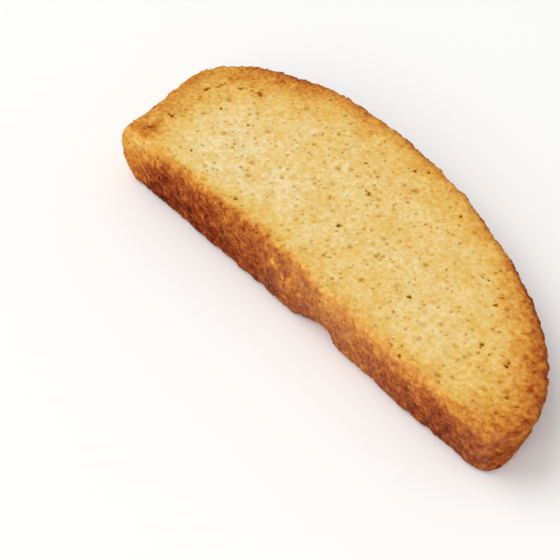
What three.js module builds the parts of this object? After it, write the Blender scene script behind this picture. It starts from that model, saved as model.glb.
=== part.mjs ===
// A rusk: one slice of a low, wide loaf, cut across and baked again until it is dry all through.
// It lies on one of its two cut faces, with the other facing up.
// Millimetres, +Z up. The straight crust of the loaf's bottom runs along X on the -Y side, the
// domed crust of its top faces +Y, and Z is the slice's thickness. The origin is on the
// underside, below the middle of the slice.

import * as THREE from 'three';
import { ImprovedNoise } from 'three/addons/math/ImprovedNoise.js';

// Outline of the slice. X is measured along the straight edge, from 1.7 mm inside its left end at
// the upper face. Each list holds a size at the underside, at half thickness and at the upper face.
const leftFoot = [-2.7, -5.7, -1.7];      // where the left end meets the straight edge
const leftLean = [2.4, 1.3, 4.6];         // how far the left end leans out up to its shoulder
const rightReach = [101.7, 103.6, 105.4]; // where the long fall of the dome meets the straight edge
const domeRise = [41.8, 42.5, 42.3];      // straight edge to the crown
const leftCornerRadius = [5.0, 1.3, 3.9];
const rightCornerRadius = [6.0, 10.1, 10.1];
const straightHollow = [0.3, 0.0, 1.0];   // how far the straight edge bows in at its middle
const shoulderHeight = 22.7;              // top of the nearly straight left end
const crownOffset = 28.9;                 // crown, along the straight edge
const shoulderFullness = 1.96;            // 2 is a plain ellipse, less is flatter
const fallFullness = 1.98;

// Thickness of the slice, which was cut a little wedge-shaped.
const leftThickness = 14.2;
const rightThickness = 11.8;

// Rounding of the two long rims, at the straight side and at the domed side.
const straightRim = 1.0;
const domedRim = 1.8;

// Relief, half of it above and half below the sizes above.
const cragSize = 2.1;                     // grain of the crust
const cragDepth = 0.65;
const rimCrags = 0.5;                     // share of the grain that roughens the upper rim
const swellSize = 8.9;                    // slow unevenness of the baked outline
const swellDepth = 0.7;
const swellPattern = 21.55;               // which of the noise's patterns bulges where the real outline does
const crumbSize = 5;                      // unevenness of the upper cut face
const crumbDepth = 0.4;
const chip = { x: 56.5, halfWidth: 6.5, depth: 2.2, top: 0.6 };  // in the lower straight edge

// Fineness of the faceted surface.
const stations = 240;                     // points round the outline
const rimSteps = 3;
const wallSteps = 8;
const arcSteps = 40;
const upperRings = { count: 9, fineness: 0.8 };
const lowerRings = { count: 4, fineness: 0.5 };
const ringCrowding = 1.25;                // 1 spaces a face's rings evenly, more crowds the rim

const bakedCrumb = new THREE.MeshStandardMaterial({
  name: 'bakedCrumb',
  color: 0xe6bd6b,
  roughness: 0.92,
  metalness: 0,
});

const noise = new ImprovedNoise();
const { lerp, clamp, smoothstep } = THREE.MathUtils;

// The middle line that the rings of the cut faces close in on.
const spine = new THREE.Line3(new THREE.Vector3(18, 19, 0), new THREE.Vector3(84, 13, 0));

// Noise from -0.5 to 0.5 with lumps of about the given size; channel picks an independent pattern.
function lumps(point, size, channel) {
  const value = noise.noise(point.x / size + channel, point.y / size, point.z / size + 2 * channel);
  return clamp(0.85 * value, -0.5, 0.5);
}

// A quarter of a superellipse from startHeight above its centre, out along rx, to its top at ry.
function quarterArc(centre, rx, ry, fullness, startHeight) {
  const points = [];
  const start = Math.asin(Math.pow(startHeight / ry, fullness / 2));
  for (let step = 0; step <= arcSteps; step += 1) {
    const angle = lerp(start, Math.PI / 2, step / arcSteps);
    const along = Math.pow(Math.max(Math.cos(angle), 0), 2 / fullness);
    const up = Math.pow(Math.sin(angle), 2 / fullness);
    points.push(new THREE.Vector2(centre.x + rx * along, centre.y + ry * up));
  }
  return points;
}

// The outline at one level, anticlockwise from the shoulder down the left end.
function outline(level) {
  const foot = leftFoot[level];
  const lean = leftLean[level];
  const reach = rightReach[level];
  const rise = domeRise[level];
  const leftRadius = leftCornerRadius[level];
  const rightRadius = rightCornerRadius[level];
  const fall = quarterArc(
    new THREE.Vector2(crownOffset, 0), reach - crownOffset, rise, fallFullness, rightRadius);
  const shoulder = quarterArc(
    new THREE.Vector2(crownOffset, shoulderHeight),
    foot - lean - crownOffset, rise - shoulderHeight, shoulderFullness, 0);

  const path = new THREE.Path();
  path.moveTo(foot - lean, shoulderHeight);
  path.lineTo(foot - lean * leftRadius / shoulderHeight, leftRadius);
  path.quadraticCurveTo(foot, 0, foot + leftRadius, 0);
  path.lineTo(reach - rightRadius, 0);
  path.quadraticCurveTo(reach, 0, fall[0].x, fall[0].y);
  fall.slice(1).forEach((point) => path.lineTo(point.x, point.y));
  shoulder.reverse().slice(1).forEach((point) => path.lineTo(point.x, point.y));
  const points = path.getSpacedPoints(stations).slice(0, stations);
  points.forEach((point) => {
    const along = clamp((point.x - foot) / (reach - foot), 0, 1);
    const nearStraight = 1 - smoothstep(point.y, 0, rightRadius);
    point.y += straightHollow[level] * Math.sin(Math.PI * along) * nearStraight;
  });
  return points;
}

// Outward directions along a closed outline.
function outwards(points) {
  return points.map((point, i) => {
    const before = points[(i + points.length - 1) % points.length];
    const after = points[(i + 1) % points.length];
    return new THREE.Vector2(after.y - before.y, before.x - after.x).normalize();
  });
}

function thicknessAt(x) {
  return lerp(leftThickness, rightThickness, x / rightReach[2]);
}

// The outline's point at a share of the thickness, on a parabola through the three levels.
function planPoint(levels, i, share) {
  const weights = [(1 - share) * (1 - 2 * share), 4 * share * (1 - share), share * (2 * share - 1)];
  const point = new THREE.Vector2();
  weights.forEach((weight, level) => point.addScaledVector(levels[level][i], weight));
  return point;
}

// How far the chip cuts in at a place along the straight edge and a share of the thickness.
function chipInset(point, outward, share) {
  const reach = Math.min(Math.abs(point.x - chip.x) / chip.halfWidth, 1);
  const width = Math.pow(Math.cos(reach * Math.PI / 2), 2);
  const facesStraight = smoothstep(-outward.y, 0.6, 0.95);
  return chip.depth * width * facesStraight * (1 - smoothstep(share, 0, chip.top));
}

// Rows of the slice's edge, from the underside round to the upper face. Each has the angle that
// its surface faces, a quarter turn down to a quarter turn up, and its share of the wall's height.
function edgeRows() {
  const rows = [];
  for (let step = 0; step <= rimSteps; step += 1) {
    rows.push({ facing: -Math.PI / 2 * (1 - step / rimSteps), wall: 0 });
  }
  for (let step = 1; step < wallSteps; step += 1) {
    rows.push({ facing: 0, wall: step / wallSteps });
  }
  for (let step = 0; step <= rimSteps; step += 1) {
    rows.push({ facing: Math.PI / 2 * step / rimSteps, wall: 1 });
  }
  return rows;
}

// One point of the baked edge, with its relief.
function edgePoint(levels, i, outward, row) {
  const rim = lerp(straightRim, domedRim, smoothstep(outward.y, -0.4, 0.6));
  const thickness = thicknessAt(levels[2][i].x);
  const height = lerp(rim, thickness - rim, row.wall) + rim * Math.sin(row.facing);
  const share = height / thickness;
  const plan = planPoint(levels, i, share);
  const point = new THREE.Vector3(plan.x, plan.y, height);
  const crust = smoothstep(row.facing, -Math.PI / 2, -Math.PI / 6);
  const crags = cragDepth * crust * lumps(point, cragSize, 0);
  const swell = swellDepth * lumps(point, swellSize, swellPattern);
  const rounding = rim * (1 - Math.cos(row.facing)) + chipInset(plan, outward, share);
  const out = crags * Math.cos(row.facing) + swell - rounding;
  point.x += outward.x * out;
  point.y += outward.y * out;
  point.z += rimCrags * crags * Math.max(Math.sin(row.facing), 0);
  return point;
}

// The upper cut face inside its rim: nearly flat, with the crumb's slight unevenness.
function upperPoint(plan) {
  plan.z = thicknessAt(plan.x);
  plan.z += crumbDepth * lumps(plan, crumbSize, 9);
  return plan;
}

function lowerPoint(plan) {
  plan.z = 0;
  return plan;
}

// Rings from a rim in to the spine of a cut face, with fewer points as they get shorter.
function faceRings(rim, { count, fineness }, placePoint) {
  const spinePoints = 2 * spine.distance() / rim[0].distanceTo(rim[1]);
  const rings = [];
  for (let ring = 1; ring < count; ring += 1) {
    const share = 1 - Math.pow(ring / count, ringCrowding);
    const ringPoints = Math.round(fineness * lerp(spinePoints, rim.length, share));
    const points = [];
    for (let i = 0; i < ringPoints; i += 1) {
      const place = i / ringPoints * rim.length;
      const before = rim[Math.floor(place)];
      const after = rim[Math.floor(place + 1) % rim.length];
      const onRim = new THREE.Vector3().lerpVectors(before, after, place % 1).setZ(0);
      const onSpine = spine.closestPointToPoint(onRim, true, new THREE.Vector3());
      points.push(placePoint(onSpine.lerp(onRim, share)));
    }
    rings.push(points);
  }
  return rings;
}

// Vertices and faces of one closed surface, put together ring by ring.
class RingSurface {
  constructor() {
    this.positions = [];
    this.faces = [];
  }

  addRing(points) {
    const first = this.positions.length / 3;
    points.forEach((point) => this.positions.push(point.x, point.y, point.z));
    return points.map((_, i) => first + i);
  }

  // Fills the band between two anticlockwise rings, the second above the first or inside it.
  bridge(ring, next) {
    let i = 0;
    let j = 0;
    while (i < ring.length || j < next.length) {
      const a = ring[i % ring.length];
      const b = next[j % next.length];
      if ((i + 1) / ring.length <= (j + 1) / next.length) {
        i += 1;
        this.faces.push(a, ring[i % ring.length], b);
      } else {
        j += 1;
        this.faces.push(a, next[j % next.length], b);
      }
    }
  }

  // Closes a ring with rungs from one of its long sides to the other, facing up or down.
  cap(ring, facesUp) {
    let low = 0;
    let high = ring.length - 1;
    while (high - low > 1) {
      const stepUp = low < ring.length - 1 - high;
      const middle = stepUp ? low + 1 : high - 1;
      const face = [ring[low], ring[middle], ring[high]];
      this.faces.push(...(facesUp ? face : face.reverse()));
      low = stepUp ? middle : low;
      high = stepUp ? high : middle;
    }
  }

  geometry() {
    const geometry = new THREE.BufferGeometry();
    geometry.setAttribute('position', new THREE.Float32BufferAttribute(this.positions, 3));
    geometry.setIndex(this.faces);
    return geometry;
  }
}

function sliceGeometry() {
  const levels = [0, 1, 2].map(outline);
  const outward = outwards(levels[2]);
  const edge = edgeRows().map((row) => outward.map((side, i) => edgePoint(levels, i, side, row)));
  const lowerFace = faceRings(edge[0], lowerRings, lowerPoint).reverse();
  const upperFace = faceRings(edge[edge.length - 1], upperRings, upperPoint);

  const surface = new RingSurface();
  const rings = [...lowerFace, ...edge, ...upperFace].map((ring) => surface.addRing(ring));
  rings.slice(1).forEach((ring, i) => surface.bridge(rings[i], ring));
  surface.cap(rings[0], false);
  surface.cap(rings[rings.length - 1], true);

  const geometry = surface.geometry();
  geometry.computeBoundingBox();
  const middle = geometry.boundingBox.getCenter(new THREE.Vector3());
  geometry.translate(-middle.x, -middle.y, 0);
  geometry.computeVertexNormals();
  return geometry;
}

const rusk = new THREE.Mesh(sliceGeometry(), bakedCrumb);
rusk.name = 'rusk';

const model = new THREE.Group();
model.add(rusk);

export default model;
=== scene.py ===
import math

import bmesh
import bpy
import numpy as np
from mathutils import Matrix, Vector
from mathutils.bvhtree import BVHTree


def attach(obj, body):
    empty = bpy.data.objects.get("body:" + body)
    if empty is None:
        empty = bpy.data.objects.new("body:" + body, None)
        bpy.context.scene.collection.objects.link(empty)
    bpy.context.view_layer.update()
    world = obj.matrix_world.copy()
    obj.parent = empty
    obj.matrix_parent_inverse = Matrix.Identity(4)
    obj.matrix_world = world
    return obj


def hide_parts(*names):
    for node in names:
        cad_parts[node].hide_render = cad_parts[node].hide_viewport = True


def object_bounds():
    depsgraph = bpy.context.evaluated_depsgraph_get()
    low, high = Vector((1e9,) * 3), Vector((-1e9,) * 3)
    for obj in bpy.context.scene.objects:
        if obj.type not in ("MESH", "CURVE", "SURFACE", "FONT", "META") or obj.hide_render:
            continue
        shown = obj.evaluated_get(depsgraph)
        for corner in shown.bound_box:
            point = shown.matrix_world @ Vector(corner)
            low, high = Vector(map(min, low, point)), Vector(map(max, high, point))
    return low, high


# A rusk lying on one of its cut faces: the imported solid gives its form, and the fine surface is made here.
# The sizes in the settings are millimetres, the meshes are metres.
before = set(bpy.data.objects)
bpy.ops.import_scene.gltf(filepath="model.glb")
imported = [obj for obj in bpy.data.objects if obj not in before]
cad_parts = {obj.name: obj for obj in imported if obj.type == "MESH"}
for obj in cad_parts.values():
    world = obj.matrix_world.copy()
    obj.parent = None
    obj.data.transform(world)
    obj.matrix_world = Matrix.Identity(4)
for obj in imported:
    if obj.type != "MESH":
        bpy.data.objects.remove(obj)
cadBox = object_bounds()
mm = 0.001
print('frame loaded')


def linearColour(hexValue):
    # an sRGB hex colour as the linear one that sockets take
    channels = [int(hexValue[i:i + 2], 16) / 255 for i in (1, 3, 5)]
    return [c / 12.92 if c <= 0.04045 else ((c + 0.055) / 1.055) ** 2.4 for c in channels] + [1.0]


def addNode(tree, kind, inputs=None, stops=None, **settings):
    # adds a node; an input is named or counted, and takes a value, a socket or another node's first output
    node = tree.nodes.new(kind)
    for name, value in settings.items():
        setattr(node, name, value)
    for key, value in (inputs or {}).items():
        socket = node.inputs[key] if isinstance(key, int) else next(
            s for s in node.inputs if s.enabled and s.name == key)
        if isinstance(value, bpy.types.Node):
            value = next(s for s in value.outputs if s.enabled)
        if isinstance(value, bpy.types.NodeSocket):
            tree.links.new(value, socket)
        else:
            socket.default_value = value
    for i, (place, colour) in enumerate(stops or []):
        ramp = node.color_ramp.elements
        stop = ramp[i] if i < 2 else ramp.new(place)
        stop.position = place
        stop.color = linearColour(colour)
    return node


def newTree(name, sizes, extra=()):
    # a Geometry Nodes tree with a named input for each size
    tree = bpy.data.node_groups.new(name, 'GeometryNodeTree')
    tree.interface.new_socket(name='Geometry', in_out='INPUT', socket_type='NodeSocketGeometry')
    tree.interface.new_socket(name='Geometry', in_out='OUTPUT', socket_type='NodeSocketGeometry')
    for size, value in sizes.items():
        kind = 'NodeSocketInt' if isinstance(value, int) else 'NodeSocketFloat'
        tree.interface.new_socket(name=size, in_out='INPUT', socket_type=kind)
    for name, kind in extra:
        tree.interface.new_socket(name=name, in_out='INPUT', socket_type=kind)
    return tree, tree.nodes.new('NodeGroupInput').outputs


def addTree(obj, tree, values):
    modifier = obj.modifiers.new(tree.name, 'NODES')
    modifier.node_group = tree
    for socket in tree.interface.items_tree:
        if socket.in_out == 'INPUT' and socket.name in values:
            modifier[socket.identifier] = values[socket.name]


def newObject(name, mesh):
    obj = bpy.data.objects.new(name, mesh)
    bpy.context.scene.collection.objects.link(obj)
    return obj


def takeResult(obj, name):
    # the object as its modifiers leave it, as a plain mesh in a new object
    graph = bpy.context.evaluated_depsgraph_get()
    mesh = bpy.data.meshes.new_from_object(
        obj.evaluated_get(graph), preserve_all_data_layers=True, depsgraph=graph)
    mesh.name = name
    bpy.data.objects.remove(obj)
    return newObject(name, mesh)


def readAttribute(mesh, name, width=1):
    data = mesh.attributes[name].data
    values = np.zeros(len(data) * width, np.float32)
    data.foreach_get('value' if width == 1 else 'vector', values)
    return values if width == 1 else values.reshape(-1, width)


def storeAttribute(mesh, name, values):
    mesh.attributes.new(name, 'FLOAT', 'POINT').data.foreach_set('value', values.astype(np.float32))


def keepInBox(mesh):
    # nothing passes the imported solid's box, so the part still rests on its flat face
    places = np.zeros(len(mesh.vertices) * 3, np.float32)
    mesh.vertices.foreach_get('co', places)
    places = np.clip(places.reshape(-1, 3), cadBox[0], cadBox[1])
    mesh.vertices.foreach_set('co', places.ravel())


# The camera comes first, because the larger pores are placed through it.
photoCamera = {
    'lens': 85.0,                      # on a 36 mm wide sensor
    'sensor': 36.0,
    'azimuth': 49.25,                  # degrees, 0 looks along +Y
    'elevation': 47.0,
    'distance': 261.7,
    'target': (-6.43, -16.97, 0.0),    # the place in the middle of the picture
    'picture': 560,                    # pixels along a side of the picture
}


def makeCamera():
    azimuth = math.radians(photoCamera['azimuth'])
    elevation = math.radians(photoCamera['elevation'])
    level = math.cos(elevation)
    ahead = Vector((-math.sin(azimuth) * level, math.cos(azimuth) * level, -math.sin(elevation)))
    data = bpy.data.cameras.new('photoCamera')
    data.lens = photoCamera['lens']
    data.sensor_width = photoCamera['sensor']
    data.clip_start = 0.01
    camera = newObject('photoCamera', data)
    camera.location = (Vector(photoCamera['target']) - ahead * photoCamera['distance']) * mm
    camera.rotation_mode = 'QUATERNION'
    camera.rotation_quaternion = ahead.to_track_quat('-Z', 'Y')
    bpy.context.scene.camera = camera
    bpy.context.view_layer.update()
    return camera


def pixelRay(camera, x, y):
    # from the camera through a pixel of the picture
    half = photoCamera['picture'] / 2
    across = photoCamera['sensor'] / photoCamera['picture']
    local = Vector(((x - half) * across, (half - y) * across, -photoCamera['lens']))
    return camera.matrix_world.translation, (camera.matrix_world.to_3x3() @ local).normalized()


camera = makeCamera()
print('camera set')

# A white floor, and soft light from the upper left of the picture.
studio = {
    'floorSize': 3000.0,
    'floorGap': 0.02,                  # floor below the underside
    'floorColour': '#fbfbfa',
    'floorRoughness': 0.9,             # matt paper
    'skyColour': '#ffffff',
    'skyStrength': 0.56,
    'lamps': {                         # place in mm, size in mm, watts
        'window': ((-1260, -480, 1860), 2100, 24.5),
        'fill': ((400, -1040, 720), 1040, 5.2),
    },
}


def makeStudio():
    half = studio['floorSize'] / 2 * mm
    mesh = bpy.data.meshes.new('floor')
    corners = [(-half, -half), (half, -half), (half, half), (-half, half)]
    mesh.from_pydata([(x, y, -studio['floorGap'] * mm) for x, y in corners], [], [(0, 1, 2, 3)])
    floor = newObject('floor', mesh)
    paper = bpy.data.materials.new('mattPaperBackdrop')
    paper.use_nodes = True
    surface = paper.node_tree.nodes['Principled BSDF']
    surface.inputs['Base Color'].default_value = linearColour(studio['floorColour'])
    surface.inputs['Roughness'].default_value = studio['floorRoughness']
    mesh.materials.append(paper)

    world = bpy.data.worlds.new('studio')
    world.use_nodes = True
    sky = world.node_tree.nodes['Background']
    sky.inputs['Color'].default_value = linearColour(studio['skyColour'])
    sky.inputs['Strength'].default_value = studio['skyStrength']
    bpy.context.scene.world = world

    for name, (place, size, watts) in studio['lamps'].items():
        data = bpy.data.lights.new(name, 'AREA')
        data.shape = 'DISK'
        data.size = size * mm
        data.energy = watts
        lamp = newObject(name, data)
        lamp.location = Vector(place) * mm
        lamp.rotation_mode = 'QUATERNION'
        lamp.rotation_quaternion = (-Vector(place)).to_track_quat('-Z', 'Y')
    bpy.context.scene.view_settings.view_transform = 'Standard'


makeStudio()
print('studio lit')

# The larger pores, where the picture shows them: pixel across, pixel down, width in mm.
# The painted shade of a group, the darker colour inside its pores, is also how deep they are.
largerPores = {
    'cracksByTheCrust': {
        'paintedShade': 1.4,
        'places': [
            (206, 89, 0.9), (209, 87.5, 0.6), (217.5, 86.5, 0.4), (220, 85.5, 0.45), (222.5, 84.3, 0.45),
            (225, 83.2, 0.4), (238.5, 88.6, 0.4), (241, 88.2, 0.6), (243.5, 87.4, 0.4), (198.6, 99, 0.35),
            (200.6, 96.4, 0.4), (172, 115.2, 0.7), (169.5, 113.8, 0.5), (259.5, 92, 0.6), (260.8, 95, 0.7),
        ],
    },
    'openPores': {
        'paintedShade': 1.25,
        'places': [
            (366, 162.5, 0.65), (369, 193.5, 0.8), (366.5, 190.5, 0.45), (339, 225, 0.85), (378, 176.5, 0.5),
            (357, 175.5, 0.45), (415, 170.5, 0.6), (429, 172.5, 0.5), (461, 216, 0.65), (409.5, 296.5, 0.75),
            (399, 356, 0.7), (482, 344, 0.7), (480.5, 347, 0.4), (490, 354, 0.45), (507, 366, 0.7),
            (509.5, 362.5, 0.5), (507, 397, 0.9), (221.4, 108, 0.55), (248.5, 124.7, 0.55),
            (234.7, 143.4, 0.6), (191.5, 149.5, 0.5), (235.9, 198.2, 0.65), (496, 305, 0.65),
            (502.5, 297.5, 0.5), (489, 280, 0.55),
        ],
    },
    'faintPores': {
        'paintedShade': 0.6,
        'places': [
            (414, 190, 1.0), (383, 256, 0.95), (394.5, 209, 0.55), (410, 247, 0.5), (367.5, 264, 0.5),
            (377.5, 206, 0.6), (329.6, 197.7, 0.7), (296.7, 219, 0.6), (207.5, 170.2, 0.5),
            (247.7, 169.7, 0.6), (280.6, 167.6, 0.6), (198, 131, 0.6), (203, 113, 0.6),
            (232.9, 131.6, 0.5), (303.3, 213.5, 0.5),
            (477, 409, 0.5), (496, 413, 0.55), (452.5, 376.5, 0.7), (486, 414, 0.5), (425, 304, 0.6),
            (315, 135, 0.6), (323, 133, 0.6), (499, 288, 0.5), (480, 285, 0.5), (478, 352, 0.7),
        ],
    },
}

# Spots that baked more or less: pixel across, pixel down, width in mm, how much darker.
bakedSpots = [
    (153, 128, 2.4, 0.2), (146, 134, 1.6, 0.14), (160, 122, 1.7, 0.14), (169, 116, 1.6, 0.1),
    (237, 77, 2.6, 0.1), (304, 88, 2.6, 0.1), (260, 94, 1.3, 0.2), (262, 100, 0.9, 0.16),
    (285, 82, 2.2, 0.1), (514, 341, 0.8, 0.2), (520, 340, 0.7, 0.18), (526, 357, 1.0, 0.25),
    (529, 368, 0.8, 0.18), (530, 390, 1.1, 0.25), (533, 385, 0.7, 0.18), (525, 421, 1.0, 0.22),
    (528, 410, 0.8, 0.15), (534, 345, 0.8, 0.18), (533, 331, 0.7, 0.15), (536, 372, 0.7, 0.15),
    (304, 279, 1.1, 0.2), (308, 285, 0.9, 0.2), (316, 290, 1.1, 0.22), (320, 294, 0.9, 0.2),
    (299, 268, 0.9, 0.15), (273, 262, 1.5, -0.25), (276, 267, 1.1, -0.2), (282, 277, 1.3, -0.15),
]


def placesOn(body, marks):
    # where the marks lie on the slice, through the camera
    surface = BVHTree.FromObject(body, bpy.context.evaluated_depsgraph_get())
    return [surface.ray_cast(*pixelRay(camera, x, y))[0] for x, y, *_ in marks]


def placeLargerPores(body):
    # bare vertices on the slice, each with the reach of its pore and the painted shade inside it
    places, reaches, paintedShade = [], [], []
    for group in largerPores.values():
        for hit, (_, _, width) in zip(placesOn(body, group['places']), group['places']):
            if hit is not None:
                places.append(hit)
                reaches.append(width)
                paintedShade.append(group['paintedShade'])
    mesh = bpy.data.meshes.new('largerPores')
    mesh.from_pydata(places, [], [])
    storeAttribute(mesh, 'poreReach', np.array(reaches))
    storeAttribute(mesh, 'poreDarkness', np.array(paintedShade))
    return newObject('largerPores', mesh)


# Relief of the slice: bulging grains on the crust, pores in the crumb.
relief = {
    'crustGrain': 1.1,         # across one bulge of the crust
    'crustDepth': 0.3,         # from a bulge's top to the crevice beside it
    'crustSoftness': 0.35,     # how far the bulges run into each other
    'bumpGrain': 2.3,          # larger bumps that roughen the outline
    'bumpDepth': 0.4,
    'fineGrain': 0.45,         # fine grain over both
    'fineDepth': 0.08,
    'crustLift': 0.38,         # the crust first swells this far, so its bulges reach the solid's surface
    'crustWrap': 1.3,          # how far the crust's grain reaches round a rim
    'leftWrap': 0.42,          # at the left, share of the distance to the domed crust that counts
    'leftWrapEnd': -30.0,      # place along the slice up to which only that share counts
    'fullWrapStart': 5.0,      # place from which all of it counts
    'strayPerMm': 0.55,        # waves of the crust's border
    'strayWidth': 0.7,         # how far that border strays
    'blisterSpacing': 3.4,     # burst blisters in the crust
    'blisterRadius': 0.85,
    'blisterDepth': 0.45,
    'crumbGrain': 1.7,         # unevenness of the cut crumb
    'crumbDepth': 0.12,
    'poreSpacing': 2.5,        # between the bubbles that the cut opened
    'poreRadius': 1.05,
    'poreDepth': 0.22,
    'finePoreSpacing': 1.1,
    'finePoreRadius': 0.6,
    'finePoreDepth': 0.12,
    'largerPoreDepth': 0.3,
    'raggedPerMm': 1.7,        # waves of the larger pores' edges
    'wobble': 1.0,             # how far pores stray from round
}
mesher = {
    'voxel': 0.18,
    'steepFace': 0.5,          # a normal's upright part, below which a face is the baked edge
    'straightFace': -0.8,      # a normal's part along Y, below which that is the loaf's bottom crust
    'triangles': 190000,
}
bubbleForm = {
    'driftPerMm': 1.1,         # waves of a bubble's outline
    'rarity': 2.0,             # the higher, the fewer are large
    'smallest': 0.4,           # times the radius
}


def bubbles(tree, point, spacing, radius, wobble):
    # how deep a place lies in one of the scattered bubbles, 0 to 1
    drift = addNode(tree, 'ShaderNodeTexNoise', {
        'Vector': point, 'Scale': bubbleForm['driftPerMm'], 'Detail': 2.0})
    drift = addNode(tree, 'ShaderNodeVectorMath', {0: drift.outputs['Color'], 1: (0.5, 0.5, 0.5)},
                    operation='SUBTRACT')
    drift = addNode(tree, 'ShaderNodeVectorMath', {0: drift, 'Scale': wobble}, operation='SCALE')
    place = addNode(tree, 'ShaderNodeVectorMath', {0: point, 1: drift}, operation='ADD')
    density = addNode(tree, 'ShaderNodeMath', {0: 1.0, 1: spacing}, operation='DIVIDE')
    cell = addNode(tree, 'ShaderNodeTexVoronoi', {'Vector': place, 'Scale': density})
    distance = addNode(tree, 'ShaderNodeMath', {0: cell, 1: spacing}, operation='MULTIPLY')
    chance = addNode(tree, 'ShaderNodeSeparateXYZ', {0: cell.outputs['Color']})
    rare = addNode(tree, 'ShaderNodeMath', {0: chance, 1: bubbleForm['rarity']}, operation='POWER')
    share = addNode(tree, 'ShaderNodeMapRange', {
        'Value': rare, 'To Min': bubbleForm['smallest'], 'To Max': 1.0})
    reach = addNode(tree, 'ShaderNodeMath', {0: share, 1: radius}, operation='MULTIPLY')
    inside = addNode(tree, 'ShaderNodeMapRange', {
        'Value': distance, 'From Max': reach, 'To Min': 1.0, 'To Max': 0.0}, interpolation_type='SMOOTHSTEP')
    return addNode(tree, 'ShaderNodeMath', {0: inside, 1: share}, operation='MULTIPLY')


def reliefTree():
    tree, given = newTree('bakedRelief', relief, [
        ('largerPores', 'NodeSocketObject'), ('material', 'NodeSocketMaterial')])
    geometry = given['Geometry']
    position = addNode(tree, 'GeometryNodeInputPosition')
    normal = addNode(tree, 'GeometryNodeInputNormal')
    point = addNode(tree, 'ShaderNodeVectorMath', {0: position, 'Scale': 1 / mm}, operation='SCALE')
    facing = addNode(tree, 'ShaderNodeSeparateXYZ', {0: normal})

    # how far each place is from the loaf's bottom crust and from its domed crust
    upright = addNode(tree, 'ShaderNodeMath', {0: facing.outputs['Z']}, operation='ABSOLUTE')
    steep = addNode(tree, 'ShaderNodeMath', {0: upright, 1: mesher['steepFace']}, operation='LESS_THAN')
    straight = addNode(tree, 'ShaderNodeMath', {0: facing.outputs['Y'], 1: mesher['straightFace']},
                       operation='LESS_THAN')
    edge = addNode(tree, 'GeometryNodeSeparateGeometry', {'Geometry': geometry, 'Selection': steep},
                   domain='FACE')
    crusts = addNode(tree, 'GeometryNodeSeparateGeometry', {'Geometry': edge, 'Selection': straight},
                     domain='FACE')
    distances = {}
    for name, crust in (('fromBottomCrust', crusts.outputs[0]), ('fromDomedCrust', crusts.outputs[1])):
        near = addNode(tree, 'GeometryNodeProximity', {'Geometry': crust}, target_element='FACES')
        distance = addNode(tree, 'ShaderNodeMath', {0: near.outputs['Distance'], 1: 1 / mm},
                           operation='MULTIPLY')
        geometry = addNode(tree, 'GeometryNodeStoreNamedAttribute', {
            'Geometry': geometry, 'Name': name, 'Value': distance}, data_type='FLOAT', domain='POINT')
        distances[name] = addNode(tree, 'GeometryNodeInputNamedAttribute', {'Name': name},
                                  data_type='FLOAT')
    geometry = addNode(tree, 'GeometryNodeStoreNamedAttribute', {
        'Geometry': geometry, 'Name': 'bakedPoint', 'Value': point}, data_type='FLOAT_VECTOR', domain='POINT')

    # crust near either edge, with an uneven border; at the left its grain reaches further in
    along = addNode(tree, 'ShaderNodeSeparateXYZ', {0: point})
    counts = addNode(tree, 'ShaderNodeMapRange', {
        'Value': along, 'From Min': given['leftWrapEnd'], 'From Max': given['fullWrapStart'],
        'To Min': given['leftWrap'], 'To Max': 1.0})
    domed = addNode(tree, 'ShaderNodeMath', {0: distances['fromDomedCrust'], 1: counts}, operation='MULTIPLY')
    nearest = addNode(tree, 'ShaderNodeMath', {0: distances['fromBottomCrust'], 1: domed},
                      operation='MINIMUM')
    stray = addNode(tree, 'ShaderNodeTexNoise', {
        'Vector': point, 'Scale': given['strayPerMm'], 'Detail': 3.0, 'Roughness': 0.65})
    stray = addNode(tree, 'ShaderNodeMapRange', {
        'Value': stray, 'From Min': 0.25, 'From Max': 0.75, 'To Min': -1.0, 'To Max': 1.0})
    nearest = addNode(tree, 'ShaderNodeMath', {0: stray, 1: given['strayWidth'], 2: nearest},
                      operation='MULTIPLY_ADD')
    crust = addNode(tree, 'ShaderNodeMapRange', {
        'Value': nearest, 'From Min': 0.0, 'From Max': given['crustWrap'], 'To Min': 1.0, 'To Max': 0.0},
        interpolation_type='SMOOTHSTEP')

    # crust: bulges with crevices between them, fine grain, burst blisters and larger bumps
    density = addNode(tree, 'ShaderNodeMath', {0: 1.0, 1: given['crustGrain']}, operation='DIVIDE')
    crevice = addNode(tree, 'ShaderNodeTexVoronoi', {
        'Vector': point, 'Scale': density, 'Smoothness': given['crustSoftness']}, feature='SMOOTH_F1')
    crevice = addNode(tree, 'ShaderNodeMath', {0: crevice, 1: given['crustDepth']}, operation='MULTIPLY')
    density = addNode(tree, 'ShaderNodeMath', {0: 1.0, 1: given['fineGrain']}, operation='DIVIDE')
    fine = addNode(tree, 'ShaderNodeTexNoise', {'Vector': point, 'Scale': density, 'Detail': 1.0})
    fine = addNode(tree, 'ShaderNodeMath', {0: fine, 1: given['fineDepth']}, operation='MULTIPLY')
    blister = bubbles(tree, point, given['blisterSpacing'], given['blisterRadius'], given['wobble'])
    blister = addNode(tree, 'ShaderNodeMath', {0: blister, 1: given['blisterDepth'], 2: fine},
                      operation='MULTIPLY_ADD')
    density = addNode(tree, 'ShaderNodeMath', {0: 1.0, 1: given['bumpGrain']}, operation='DIVIDE')
    bump = addNode(tree, 'ShaderNodeTexNoise', {'Vector': point, 'Scale': density, 'Detail': 1.0})
    bump = addNode(tree, 'ShaderNodeMath', {0: bump, 1: given['bumpDepth'], 2: blister},
                   operation='MULTIPLY_ADD')
    crustSink = addNode(tree, 'ShaderNodeMath', {0: crevice, 1: bump}, operation='ADD')
    crustSink = addNode(tree, 'ShaderNodeMath', {0: crustSink, 1: given['crustLift']}, operation='SUBTRACT')

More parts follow.
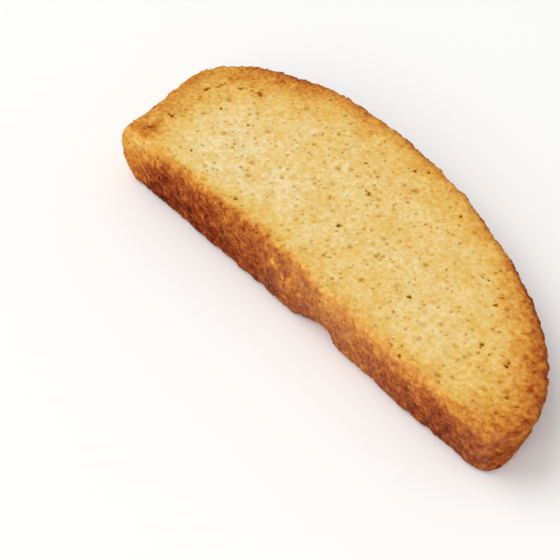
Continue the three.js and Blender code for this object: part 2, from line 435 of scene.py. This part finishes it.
    # crumb: a slightly uneven cut with the pores that it opened
    density = addNode(tree, 'ShaderNodeMath', {0: 1.0, 1: given['crumbGrain']}, operation='DIVIDE')
    uneven = addNode(tree, 'ShaderNodeTexNoise', {'Vector': point, 'Scale': density, 'Detail': 3.0,
                                                  'Roughness': 0.6})
    uneven = addNode(tree, 'ShaderNodeMath', {0: uneven, 1: given['crumbDepth']}, operation='MULTIPLY')
    crumbSink = uneven
    for family in ('pore', 'finePore'):
        pore = bubbles(tree, point, given[family + 'Spacing'], given[family + 'Radius'], given['wobble'])
        crumbSink = addNode(tree, 'ShaderNodeMath', {0: pore, 1: given[family + 'Depth'], 2: crumbSink},
                            operation='MULTIPLY_ADD')

    # the larger pores: the nearest one says how far it reaches and how much shade is painted inside it, which
    # also sets how deep it is
    marks = addNode(tree, 'GeometryNodeObjectInfo', {'Object': given['largerPores']})
    index = addNode(tree, 'GeometryNodeSampleNearest', {'Geometry': marks.outputs['Geometry']},
                    domain='POINT')
    found = {}
    for name in ('poreReach', 'poreDarkness'):
        value = addNode(tree, 'GeometryNodeInputNamedAttribute', {'Name': name}, data_type='FLOAT')
        found[name] = addNode(tree, 'GeometryNodeSampleIndex', {
            'Geometry': marks.outputs['Geometry'], 'Value': value, 'Index': index}, data_type='FLOAT')
    near = addNode(tree, 'GeometryNodeProximity', {'Geometry': marks.outputs['Geometry']},
                   target_element='POINTS')
    ragged = addNode(tree, 'ShaderNodeTexNoise', {
        'Vector': point, 'Scale': given['raggedPerMm'], 'Detail': 1.0})
    ragged = addNode(tree, 'ShaderNodeMapRange', {
        'Value': ragged, 'From Min': 0.25, 'From Max': 0.75, 'To Min': 0.5, 'To Max': 1.8})
    distance = addNode(tree, 'ShaderNodeMath', {0: near.outputs['Distance'], 1: 1 / mm},
                       operation='MULTIPLY')
    distance = addNode(tree, 'ShaderNodeMath', {0: distance, 1: ragged}, operation='MULTIPLY')
    larger = addNode(tree, 'ShaderNodeMapRange', {
        'Value': distance, 'From Max': found['poreReach'], 'To Min': found['poreDarkness'], 'To Max': 0.0},
        interpolation_type='SMOOTHSTEP')

    sink = addNode(tree, 'ShaderNodeMix', {'Factor': crust, 'A': crumbSink, 'B': crustSink})
    sink = addNode(tree, 'ShaderNodeMath', {0: larger, 1: given['largerPoreDepth'], 2: sink},
                   operation='MULTIPLY_ADD')
    for name, value in (('crust', crust), ('stray', stray), ('largerPore', larger)):
        geometry = addNode(tree, 'GeometryNodeStoreNamedAttribute', {
            'Geometry': geometry, 'Name': name, 'Value': value}, data_type='FLOAT', domain='POINT')
    inward = addNode(tree, 'ShaderNodeMath', {0: sink, 1: -mm}, operation='MULTIPLY')
    offset = addNode(tree, 'ShaderNodeVectorMath', {0: normal, 'Scale': inward}, operation='SCALE')
    geometry = addNode(tree, 'GeometryNodeSetPosition', {'Geometry': geometry, 'Offset': offset})
    geometry = addNode(tree, 'GeometryNodeSetShadeSmooth', {'Geometry': geometry})
    geometry = addNode(tree, 'GeometryNodeSetMaterial', {
        'Geometry': geometry, 'Material': given['material']})
    addNode(tree, 'NodeGroupOutput', {'Geometry': geometry})
    return tree


# How far the baking browned each place, 0 for pale crumb to 1 for nearly burnt.
browning = {
    'along': [-55, -50, -46, -40, -30, -20, -10, 0, 10, 20, 30, 40, 46, 52, 56],   # mm along the slice
    'alongRows': {
        'crumb':         [.06, .05, .05, .05, .07, .08, .09, .11, .11, .11, .12, .15, .18, .22, .25],
        'domedRim':      [.48, .54, .66, .72, .60, .50, .46, .45, .42, .42, .53, .60, .57, .50, .46],
        'domedReach':    [7.4, 7.4, 7.6, 7.4, 6.0, 4.8, 4.2, 4.0, 3.6, 3.4, 3.6, 4.6, 5.0, 5.0, 5.0],
        'straightRim':   [.22, .24, .27, .31, .37, .50, .54, .44, .30, .27, .28, .30, .36, .42, .42],
        'straightReach': [3.4, 3.2, 2.6, 1.8, 1.6, 1.8, 2.0, 1.7, 1.4, 1.4, 1.6, 2.0, 2.2, 2.4, 2.4],
        'bottomCrust':   [.36, .38, .51, .78, .77, .71, .68, .65, .60, .58, .66, .73, .71, .61, .59],
        'topLight':      [.6, .6, .9, 1.3, 1.5, .9, .3, .3, .6, .8, 1.2, 1.4, 1.5, 1.5, 1.5],
        'upperLight':    [0, 0, 0, 0, 0, 0, 0, 0, .4, .7, 1.1, 1.1, 1.2, 1.3, 1.3],
        'domedCrust':    [.40, .40, .50, .60, .66, .66, .64, .62, .62, .65, .70, .74, .76, .72, .68],
        'domedTop':      [-.1, -.08, -.06, -.04, 0, 0, 0, 0, 0, .02, .04, .04, 0, -.06, -.08],
        'dustAndSheen':          [0, 0, 0, 0, 0, 0, .02, .08, .12, .10, .05, .03, .04, .07, .07],   # flour, and painted sheen
    },
    'height': [0.0, 0.25, 0.6, 0.75, 0.85, 0.93, 1.0],     # share of the thickness
    'heightRows': {
        'low':   [.14, .12, .02, 0, 0, 0, 0],              # painted contact shade, darker towards the underside
        'upper': [0, 0, 0, -.04, -.09, -.1, -.1],          # times upperLight
        'top':   [0, 0, 0, -.01, -.06, -.16, -.25],        # times topLight
        'domed': [0, 0, .1, .4, .8, 1, 1],                 # times domedTop
    },
    'ragged': 1.1,             # mm that the borders stray
    'raggedHeight': 0.05,      # share of the thickness that a millimetre of it counts up the crust
    'raggedBorder': 0.5,       # share of it that counts between crumb and crust
    'borderWidth': 1.0,        # mm over which the crumb turns to crust
    'lowBorderWidth': 3.0,     # the same where the place is lower than lowBorder
    'lowBorder': 2,
    'leastRim': 0.9,           # the bottom crust keeps this share of the straight rim's browning
    'spotReach': 0.6,          # how far a baked spot reaches, times its width
    'dustAndSheenReach': 1.5,          # mm that the flour and painted sheen reach in from the bottom crust
    'darkStart': {'lean': 0.7, 'upTo': -36, 'height': 6},   # the dark crust's left border leans over
    'palePatch': {'place': (-37, -9), 'reach': 11, 'level': -.07},
}


def thicknessAt(x):
    # the slice's thickness at a place along it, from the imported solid's upper face
    places = np.array([v.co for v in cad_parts['rusk'].data.vertices]) / mm
    upper = places[places[:, 2] > 0.75 * places[:, 2].max()]
    return np.polyval(np.polyfit(upper[:, 0], upper[:, 2], 1), x)


def paintBrowning(mesh, specks):
    point = readAttribute(mesh, 'bakedPoint', 3)
    stray = readAttribute(mesh, 'stray') * browning['ragged']
    fromBottom = readAttribute(mesh, 'fromBottomCrust')
    fromDomed = readAttribute(mesh, 'fromDomedCrust')
    start = browning['darkStart']
    leaning = start['lean'] * (point[:, 2] - start['height']) * (point[:, 0] < start['upTo'])
    along = {}
    for name, values in browning['alongRows'].items():
        place = point[:, 0] - (leaning if name == 'bottomCrust' else 0)
        along[name] = np.interp(place, browning['along'], values)
    height = point[:, 2] / thicknessAt(point[:, 0]) + browning['raggedHeight'] * stray
    byHeight = {name: np.interp(np.clip(height, 0, 1), browning['height'], values)
                for name, values in browning['heightRows'].items()}

    # the crumb, darker towards its rims
    patch = browning['palePatch']
    away = np.hypot(point[:, 0] - patch['place'][0], point[:, 1] - patch['place'][1]) / patch['reach']
    crumb = along['crumb'] + patch['level'] * np.exp(-away ** 2)
    rims = [along[rim] * np.exp(-np.maximum(distance + stray, 0) / along[reach]) for rim, reach, distance in (
        ('domedRim', 'domedReach', fromDomed), ('straightRim', 'straightReach', fromBottom))]
    toast = crumb + np.maximum(*rims)

    # the two crusts
    # the bottom crust gets painted contact shade near the underside, from the low row
    bottom = along['bottomCrust'] + byHeight['low'] + byHeight['upper'] * along['upperLight']
    bottom = np.maximum(bottom + byHeight['top'] * along['topLight'],
                        crumb + browning['leastRim'] * along['straightRim'])
    domed = along['domedCrust'] + along['domedTop'] * byHeight['domed']
    width = np.where(point[:, 2] < browning['lowBorder'], browning['lowBorderWidth'], browning['borderWidth'])
    for level, distance in ((domed, fromDomed), (bottom, fromBottom)):
        toast += (level - toast) * np.clip(1 - (distance + browning['raggedBorder'] * stray) / width, 0, 1)

    for place, (_, _, width, darker) in zip(specks, bakedSpots):
        if place is not None:
            away = np.linalg.norm(point - np.array(place) / mm, axis=1) / (browning['spotReach'] * width)
            toast += darker * np.exp(-away ** 2)
    storeAttribute(mesh, 'toast', toast)
    storeAttribute(mesh, 'dustAndSheen', along['dustAndSheen'] * np.clip(1 - fromBottom / browning['dustAndSheenReach'], 0, 1))


# Look of the crumb and its crust; sizes in mm, depths as steps of browning.
crumbLook = {
    'roughness': 0.85,
    'specular': 0.08,          # a dry crumb has hardly any sheen
    'patches': 5.0,            # across the patches that baked more or less
    'patchDepth': 0.05,
    'mottle': 1.0,             # across the crumb's own pale and golden spots
    'mottleDepth': 0.085,
    'blotch': 2.4,             # across the blotches of the crust
    'blotchDepth': 0.05,
    'speckle': 0.95,           # across the grain of the browned rim
    'speckleDepth': 0.09,
    'rimFrom': 0.22,           # browning at which the browned rim starts
    'rimFull': 0.5,            # and at which it is all rim
    'paintedCreviceShade': 0.03,      # painted shade: how much darker the crevices of the crust are than its bulges
    'grainDepth': 0.04,        # how much the crust's bulges differ from each other
    'tints': {'flour': ('#efd8a0', 0.9, 0.4), 'butter': ('#e0b544', 1.3, 0.5)},    # colour, mm, share
    'tintSeed': 7.0,           # W of the first tint's noise, one more for each after it
    'scorchSpacing': 1.5,      # dark specks in the browned rim
    'scorchRadius': 0.8,
    'scorchDepth': 0.4,
    'scorchPerMm': 0.35,       # clusters of them
    'scorchOffCrust': 0.8,     # share of them that the crust doesn't have
    # painted shade inside the pores that the relief sinks
    'poreDarkness': 0.55,
    'finePoreDarkness': 0.65,
    'grit': 0.3,
    'gritDepth': 0.02,         # mm
    'dustAndSheenPatches': 2.0,        # across the patches of flour and painted sheen
    'looseTone': 0.5,          # across the shades of the grains on the crust
    'looseToneDepth': 0.06,
}
browningColours = [
    (0.00, '#f0dcaa'), (0.06, '#eccf8c'), (0.14, '#eac575'), (0.24, '#e6b558'), (0.34, '#dea042'),
    (0.46, '#d18833'), (0.58, '#bc6c28'), (0.70, '#a2501e'), (0.82, '#863611'), (0.93, '#6c2305'),
    (1.00, '#501a03')]
# pale pink of the flour, which also stands in for a painted sheen on the crust
dustAndSheenColour = '#cfa886'
porePaintedShades = [(0.0, '#ffffff'), (0.5, '#d6ba78'), (1.0, '#8e6a14')]    # painted shade inside the pores, times the crumb's own colour


def addDustAndSheen(tree, colour, point):
    # flour that clings to the crust in patches, with a pale pink painted sheen in the same patches
    dustAndSheen = addNode(tree, 'ShaderNodeAttribute', attribute_name='dustAndSheen').outputs['Fac']
    patches = addNode(tree, 'ShaderNodeTexNoise', {
        'Vector': point, 'Scale': 1 / crumbLook['dustAndSheenPatches'], 'Detail': 3.0})
    patches = addNode(tree, 'ShaderNodeMapRange', {
        'Value': patches, 'From Min': 0.3, 'From Max': 0.65, 'To Min': 0.3, 'To Max': 1.6})
    dustAndSheen = addNode(tree, 'ShaderNodeMath', {0: dustAndSheen, 1: patches}, operation='MULTIPLY')
    return addNode(tree, 'ShaderNodeMix', {
        'Factor': dustAndSheen, 'A': colour, 'B': linearColour(dustAndSheenColour)}, data_type='RGBA')


def crumbMaterial():
    # twice-baked wheat crumb and crust: matt, dry, yellow where cut, browned from the rim inwards
    material = bpy.data.materials.new('twiceBakedWheatCrumb')
    material.use_nodes = True
    tree = material.node_tree
    surface = tree.nodes['Principled BSDF']
    point = addNode(tree, 'ShaderNodeAttribute', attribute_name='bakedPoint').outputs['Vector']
    toast = addNode(tree, 'ShaderNodeAttribute', attribute_name='toast').outputs['Fac']
    crust = addNode(tree, 'ShaderNodeAttribute', attribute_name='crust').outputs['Fac']
    larger = addNode(tree, 'ShaderNodeAttribute', attribute_name='largerPore').outputs['Fac']

    # browning, stirred by two sizes of spots everywhere, one on the crust and one where the rim is browned
    rim = addNode(tree, 'ShaderNodeMapRange', {
        'Value': toast, 'From Min': crumbLook['rimFrom'], 'From Max': crumbLook['rimFull']},
        interpolation_type='SMOOTHSTEP')
    level = toast
    for size, depth, gate in (
            (crumbLook['patches'], crumbLook['patchDepth'], None),
            (crumbLook['mottle'], crumbLook['mottleDepth'], None),
            (crumbLook['blotch'], crumbLook['blotchDepth'], crust),
            (crumbLook['speckle'], crumbLook['speckleDepth'], rim)):
        spots = addNode(tree, 'ShaderNodeTexNoise', {'Vector': point, 'Scale': 1 / size, 'Detail': 1.0})
        spots = addNode(tree, 'ShaderNodeMapRange', {
            'Value': spots, 'From Min': 0.3, 'From Max': 0.7, 'To Min': -depth, 'To Max': depth})
        if gate is not None:
            spots = addNode(tree, 'ShaderNodeMath', {0: spots, 1: gate}, operation='MULTIPLY')
        level = addNode(tree, 'ShaderNodeMath', {0: level, 1: spots}, operation='ADD')

    # crust: each bulge has its own tone, and painted light and shade make the bulges paler and the crevices
    # between them darker
    cells = addNode(tree, 'ShaderNodeTexVoronoi', {
        'Vector': point, 'Scale': 1 / relief['crustGrain'], 'Smoothness': relief['crustSoftness']},
        feature='SMOOTH_F1')
    tone = addNode(tree, 'ShaderNodeSeparateXYZ', {0: cells.outputs['Color']})
    for value, low, high, depth in ((cells.outputs['Distance'], 0.1, 0.7, crumbLook['paintedCreviceShade']),
                                    (tone.outputs['X'], 0.0, 1.0, crumbLook['grainDepth'])):
        shade = addNode(tree, 'ShaderNodeMapRange', {
            'Value': value, 'From Min': low, 'From Max': high, 'To Min': -depth, 'To Max': depth})
        shade = addNode(tree, 'ShaderNodeMath', {0: shade, 1: crust}, operation='MULTIPLY')
        level = addNode(tree, 'ShaderNodeMath', {0: level, 1: shade}, operation='ADD')

    # scorched specks, in clusters along the browned rim and fewer on the crust
    scorch = bubbles(tree, point, crumbLook['scorchSpacing'], crumbLook['scorchRadius'], relief['wobble'])
    cluster = addNode(tree, 'ShaderNodeTexNoise', {
        'Vector': point, 'Scale': crumbLook['scorchPerMm'], 'Detail': 1.0})
    cluster = addNode(tree, 'ShaderNodeMapRange', {
        'Value': cluster, 'From Min': 0.35, 'From Max': 0.6, 'To Max': crumbLook['scorchDepth']})
    cutOnly = addNode(tree, 'ShaderNodeMath', {0: crust, 1: -crumbLook['scorchOffCrust'], 2: 1.0},
                      operation='MULTIPLY_ADD')
    cluster = addNode(tree, 'ShaderNodeMath', {0: cluster, 1: rim}, operation='MULTIPLY')
    cluster = addNode(tree, 'ShaderNodeMath', {0: cluster, 1: cutOnly}, operation='MULTIPLY')
    level = addNode(tree, 'ShaderNodeMath', {0: scorch, 1: cluster, 2: level}, operation='MULTIPLY_ADD')
    colour = addNode(tree, 'ShaderNodeValToRGB', {'Fac': level}, stops=browningColours)
    colour = addDustAndSheen(tree, colour, point)

    # the crumb is whiter in some spots and yellower in others
    pale = addNode(tree, 'ShaderNodeMath', {0: 1.0, 1: rim}, operation='SUBTRACT')
    for i, (tint, size, share) in enumerate(crumbLook['tints'].values()):
        spots = addNode(tree, 'ShaderNodeTexNoise', {
            'Vector': point, 'W': crumbLook['tintSeed'] + i, 'Scale': 1 / size, 'Detail': 2.0},
            noise_dimensions='4D')
        spots = addNode(tree, 'ShaderNodeMapRange', {
            'Value': spots, 'From Min': 0.48, 'From Max': 0.7, 'To Max': share})
        spots = addNode(tree, 'ShaderNodeMath', {0: spots, 1: pale}, operation='MULTIPLY')
        colour = addNode(tree, 'ShaderNodeMix', {
            'Factor': spots, 'A': colour, 'B': linearColour(tint)}, data_type='RGBA')

    # the pores that the relief sinks get painted shade inside, less where the slice is browned
    pore = larger
    for family in ('pore', 'finePore'):
        other = bubbles(tree, point, relief[family + 'Spacing'], relief[family + 'Radius'], relief['wobble'])
        other = addNode(tree, 'ShaderNodeMath', {0: other, 1: crumbLook[family + 'Darkness']},
                        operation='MULTIPLY')
        pore = addNode(tree, 'ShaderNodeMath', {0: pore, 1: other}, operation='MAXIMUM')
    crumbOnly = addNode(tree, 'ShaderNodeMapRange', {
        'Value': toast, 'From Min': 0.3, 'From Max': 0.6, 'To Min': 1.0, 'To Max': 0.2})
    pore = addNode(tree, 'ShaderNodeMath', {0: pore, 1: crumbOnly}, operation='MULTIPLY')
    shade = addNode(tree, 'ShaderNodeValToRGB', {'Fac': pore}, stops=porePaintedShades)
    colour = addNode(tree, 'ShaderNodeMix', {'Factor': 1.0, 'A': colour, 'B': shade}, data_type='RGBA',
                     blend_type='MULTIPLY')

    grit = addNode(tree, 'ShaderNodeTexNoise', {
        'Vector': point, 'Scale': 1 / crumbLook['grit'], 'Detail': 2.0})
    bump = addNode(tree, 'ShaderNodeBump', {'Height': grit, 'Distance': crumbLook['gritDepth'] * mm})
    surface.inputs['Roughness'].default_value = crumbLook['roughness']
    surface.inputs['Specular IOR Level'].default_value = crumbLook['specular']
    tree.links.new(colour.outputs[2], surface.inputs['Base Color'])
    tree.links.new(bump.outputs[0], surface.inputs['Normal'])
    return material


def grainMaterial():
    # baked crumbs standing out of the crust: each its own shade of brown, matt
    material = bpy.data.materials.new('toastedCrustCrumb')
    material.use_nodes = True
    tree = material.node_tree
    surface = tree.nodes['Principled BSDF']
    toast = addNode(tree, 'ShaderNodeAttribute', attribute_name='toast').outputs['Fac']
    place = addNode(tree, 'ShaderNodeTexCoord').outputs['Object']
    place = addNode(tree, 'ShaderNodeVectorMath', {0: place, 'Scale': 1 / mm}, operation='SCALE')
    grain = addNode(tree, 'ShaderNodeTexNoise', {
        'Vector': place, 'Scale': 1 / crumbLook['looseTone'], 'Detail': 1.0})
    grain = addNode(tree, 'ShaderNodeMapRange', {
        'Value': grain, 'To Min': -crumbLook['looseToneDepth'], 'To Max': crumbLook['looseToneDepth']})
    blotch = addNode(tree, 'ShaderNodeTexNoise', {
        'Vector': place, 'Scale': 1 / crumbLook['blotch'], 'Detail': 1.0})
    blotch = addNode(tree, 'ShaderNodeMapRange', {
        'Value': blotch, 'From Min': 0.3, 'From Max': 0.7, 'To Min': -crumbLook['blotchDepth'],
        'To Max': crumbLook['blotchDepth']})
    grain = addNode(tree, 'ShaderNodeMath', {0: grain, 1: blotch}, operation='ADD')
    level = addNode(tree, 'ShaderNodeMath', {0: toast, 1: grain}, operation='ADD')
    colour = addNode(tree, 'ShaderNodeValToRGB', {'Fac': level}, stops=browningColours)
    colour = addDustAndSheen(tree, colour, place)
    tree.links.new(colour.outputs[2], surface.inputs['Base Color'])
    surface.inputs['Roughness'].default_value = crumbLook['roughness']
    surface.inputs['Specular IOR Level'].default_value = crumbLook['specular']
    return material


def mergedCopy(node, name):
    # a CAD node's mesh is loose triangles, so its copy is merged first
    mesh = node.data.copy()
    mesh.materials.clear()
    work = bmesh.new()
    work.from_mesh(mesh)
    bmesh.ops.remove_doubles(work, verts=work.verts, dist=0.002 * mm)
    work.to_mesh(mesh)
    work.free()
    return newObject(name, mesh)


def makeSlice(material):
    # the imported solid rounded, meshed finely, given its relief and thinned to what a piece may have
    draft = mergedCopy(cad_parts['rusk'], 'draft')
    pores = placeLargerPores(draft)
    specks = placesOn(draft, bakedSpots)
    rounding = draft.modifiers.new('rounding', 'SUBSURF')
    rounding.levels = rounding.render_levels = 2
    remesh = draft.modifiers.new('remesh', 'REMESH')
    remesh.mode = 'VOXEL'
    remesh.voxel_size = mesher['voxel'] * mm
    remesh.use_smooth_shade = True
    addTree(draft, reliefTree(), {**relief, 'largerPores': pores, 'material': material})
    dense = takeResult(draft, 'dense')
    bpy.data.objects.remove(pores)

    thinning = dense.modifiers.new('thinning', 'DECIMATE')
    triangles = sum(len(p.vertices) - 2 for p in dense.data.polygons)
    thinning.ratio = min(1.0, mesher['triangles'] / triangles)
    thinning.use_collapse_triangulate = True
    body = takeResult(dense, 'ruskSlice')
    print('slice meshed:', triangles, 'triangles thinned to', len(body.data.polygons))

    keepInBox(body.data)
    paintBrowning(body.data, specks)
    return body


crumb = crumbMaterial()
ruskSlice = makeSlice(crumb)
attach(ruskSlice, 'root')
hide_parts('rusk')
print('slice finished')

# Grains that stand out of the surface; both kinds come from one tree.
crustGrains = {
    'scatter': {
        'spacing': 0.78,           # closest that two grains come
        'size': 1.2,               # across the largest
        'sizeSpread': 0.5,         # the smallest are this share smaller
        'sunk': 0.25,              # share of the size that the middle lies below the surface
        'toneSpread': 0.12,        # how far their browning differs from the crust's
        'seed': 11,
    },
    'clearance': 0.6,              # they keep this far above the underside
    'toastFrom': 0.32,             # browning at which they start
    'toastRange': 0.2,             # and over which they get as dense as they can be
    'domeAlong': [-20, 10],        # along the domed crust they get smaller between these
    'domeSize': [1.05, 0.6],       # times the size
    'straightSize': 0.9,           # times the size, along the loaf's bottom crust
}
looseCrumbs = {
    'scatter': {
        'spacing': 1.05,
        'size': 0.36,
        'sizeSpread': 0.5,
        'sunk': 0.1,
        'toneSpread': 0.06,
        'seed': 5,
    },
    'above': 11,                   # they lie on the upper face, higher than this
    'density': 0.8,
}
grainForm = {
    'crowding': 3.0,               # points tried for each that the spacing lets stand
    'toneSkew': 2.5,               # most are a little paler than the crust and a few much darker
    'toneRange': 2.6,
    'palest': -0.75,               # times toneSpread
    'narrowest': 0.7,              # share of the size
    'fullTurn': 6.28,
    'toneSeed': 7,
    'sizeSeed': 3,
    'shapeSeed': 4,
    'turnSeed': 6,
}


def grainTree():
    # grains on the faces, as dense as the attribute grainDensity says and as large as grainSize says
    tree, given = newTree('scatteredGrains', crustGrains['scatter'], [('material', 'NodeSocketMaterial')])
    reach = addNode(tree, 'ShaderNodeMath', {0: given['spacing'], 1: mm}, operation='MULTIPLY')
    thick = addNode(tree, 'ShaderNodeMath', {0: reach, 1: -2.0}, operation='POWER')
    thick = addNode(tree, 'ShaderNodeMath', {0: thick, 1: grainForm['crowding']}, operation='MULTIPLY')
    share = addNode(tree, 'GeometryNodeInputNamedAttribute', {'Name': 'grainDensity'}, data_type='FLOAT')
    points = addNode(tree, 'GeometryNodeDistributePointsOnFaces', {
        'Mesh': given['Geometry'], 'Distance Min': reach, 'Density Max': thick, 'Density Factor': share,
        'Seed': given['seed']}, distribute_method='POISSON')

    # each grain takes the browning of its place, a little paler or darker
    tone = addNode(tree, 'FunctionNodeRandomValue', {
        'Min': 0.0, 'Max': 1.0, 'Seed': grainForm['toneSeed']}, data_type='FLOAT')
    tone = addNode(tree, 'ShaderNodeMath', {0: tone, 1: grainForm['toneSkew']}, operation='POWER')
    tone = addNode(tree, 'ShaderNodeMath', {0: tone, 1: grainForm['toneRange'], 2: grainForm['palest']},
                   operation='MULTIPLY_ADD')
    tone = addNode(tree, 'ShaderNodeMath', {0: tone, 1: given['toneSpread']}, operation='MULTIPLY')
    toast = addNode(tree, 'GeometryNodeInputNamedAttribute', {'Name': 'toast'}, data_type='FLOAT')
    toast = addNode(tree, 'ShaderNodeMath', {0: toast, 1: tone}, operation='ADD')
    toned = addNode(tree, 'GeometryNodeStoreNamedAttribute', {
        'Geometry': points.outputs['Points'], 'Name': 'toast', 'Value': toast},
        data_type='FLOAT', domain='POINT')

    # its width, and how far it sinks in
    least = addNode(tree, 'ShaderNodeMath', {0: 1.0, 1: given['sizeSpread']}, operation='SUBTRACT')
    chance = addNode(tree, 'FunctionNodeRandomValue', {
        'Min': least, 'Max': 1.0, 'Seed': grainForm['sizeSeed']}, data_type='FLOAT')
    width = addNode(tree, 'ShaderNodeMath', {0: given['size'], 1: mm}, operation='MULTIPLY')
    width = addNode(tree, 'ShaderNodeMath', {0: width, 1: chance}, operation='MULTIPLY')
    local = addNode(tree, 'GeometryNodeInputNamedAttribute', {'Name': 'grainSize'}, data_type='FLOAT')
    width = addNode(tree, 'ShaderNodeMath', {0: width, 1: local}, operation='MULTIPLY')
    down = addNode(tree, 'ShaderNodeMath', {0: width, 1: given['sunk']}, operation='MULTIPLY')
    down = addNode(tree, 'ShaderNodeMath', {0: down, 1: -1.0}, operation='MULTIPLY')
    offset = addNode(tree, 'ShaderNodeVectorMath', {0: points.outputs['Normal'], 'Scale': down},
                     operation='SCALE')
    placed = addNode(tree, 'GeometryNodeSetPosition', {'Geometry': toned, 'Offset': offset})

    # an uneven ball of few faces, turned any way
    uneven = addNode(tree, 'FunctionNodeRandomValue', {
        'Min': [grainForm['narrowest']] * 3, 'Max': (1.0, 1.0, 1.0), 'Seed': grainForm['shapeSeed']},
        data_type='FLOAT_VECTOR')
    uneven = addNode(tree, 'ShaderNodeVectorMath', {0: uneven, 'Scale': width}, operation='SCALE')
    turn = addNode(tree, 'FunctionNodeRandomValue', {
        'Min': (0.0, 0.0, 0.0), 'Max': [grainForm['fullTurn']] * 3, 'Seed': grainForm['turnSeed']},
        data_type='FLOAT_VECTOR')
    turn = addNode(tree, 'FunctionNodeEulerToRotation', {0: turn})
    ball = addNode(tree, 'GeometryNodeMeshIcoSphere', {'Radius': 0.5, 'Subdivisions': 1})
    grains = addNode(tree, 'GeometryNodeInstanceOnPoints', {
        'Points': placed, 'Instance': ball, 'Rotation': turn, 'Scale': uneven})
    grains = addNode(tree, 'GeometryNodeRealizeInstances', {'Geometry': grains})
    grains = addNode(tree, 'GeometryNodeSetShadeSmooth', {'Geometry': grains})
    grains = addNode(tree, 'GeometryNodeSetMaterial', {'Geometry': grains, 'Material': given['material']})
    addNode(tree, 'NodeGroupOutput', {'Geometry': grains})
    return tree


def scatterGrains(name, tree, settings, density, width, material):
    mesh = ruskSlice.data.copy()
    storeAttribute(mesh, 'grainDensity', density)
    storeAttribute(mesh, 'grainSize', width)
    source = newObject('source', mesh)
    addTree(source, tree, {**settings['scatter'], 'material': material})
    grains = takeResult(source, name)
    keepInBox(grains.data)
    print(name, 'has', len(grains.data.polygons), 'triangles')
    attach(grains, 'root')
    return grains


scatterTree = grainTree()
toastedCrumb = grainMaterial()
place = readAttribute(ruskSlice.data, 'bakedPoint', 3)
toast = readAttribute(ruskSlice.data, 'toast')
crust = readAttribute(ruskSlice.data, 'crust')

onDome = readAttribute(ruskSlice.data, 'fromDomedCrust') < readAttribute(ruskSlice.data, 'fromBottomCrust')
domeGrain = np.interp(place[:, 0], crustGrains['domeAlong'], crustGrains['domeSize'])
grainWidth = np.where(onDome, domeGrain, crustGrains['straightSize'])
browned = np.clip((toast - crustGrains['toastFrom']) / crustGrains['toastRange'], 0, 1)
browned = browned * (place[:, 2] > crustGrains['clearance'])
scatterGrains('crustGrains', scatterTree, crustGrains, browned, grainWidth, toastedCrumb)

onTop = (place[:, 2] > looseCrumbs['above']) * (1 - crust) * looseCrumbs['density']
scatterGrains('looseCrumbs', scatterTree, looseCrumbs, onTop, np.ones(len(place)), toastedCrumb)
print('grains scattered')
